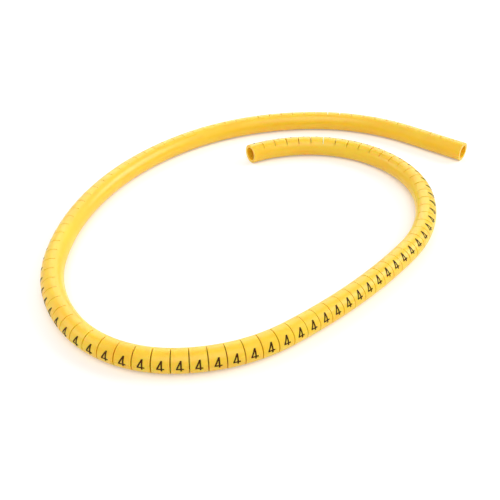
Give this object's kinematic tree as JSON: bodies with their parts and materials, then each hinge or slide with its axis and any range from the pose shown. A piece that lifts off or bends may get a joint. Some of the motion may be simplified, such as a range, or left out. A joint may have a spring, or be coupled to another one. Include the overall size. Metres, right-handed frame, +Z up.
{
  "type": "cable marker",
  "caption": "Strip of cable markers: a soft yellow PVC tube, slit crosswise between printed digits and held by a web, lying in a loose coil; each marker tears off and slides over a wire.",
  "frame": {"origin": "on the table, under the middle of the box around the coil", "axes": "+Z up from the table, +X to the right and +Y away from the viewer as in the picture"},
  "size_m": [0.1584, 0.1578, 0.0075],
  "materials": {
    "pvc": "soft PVC, satin",
    "ink": "printed ink, satin"
  },
  "bodies": {
    "root": {"marker_strip": "pvc"}
  },
  "joints": []
}
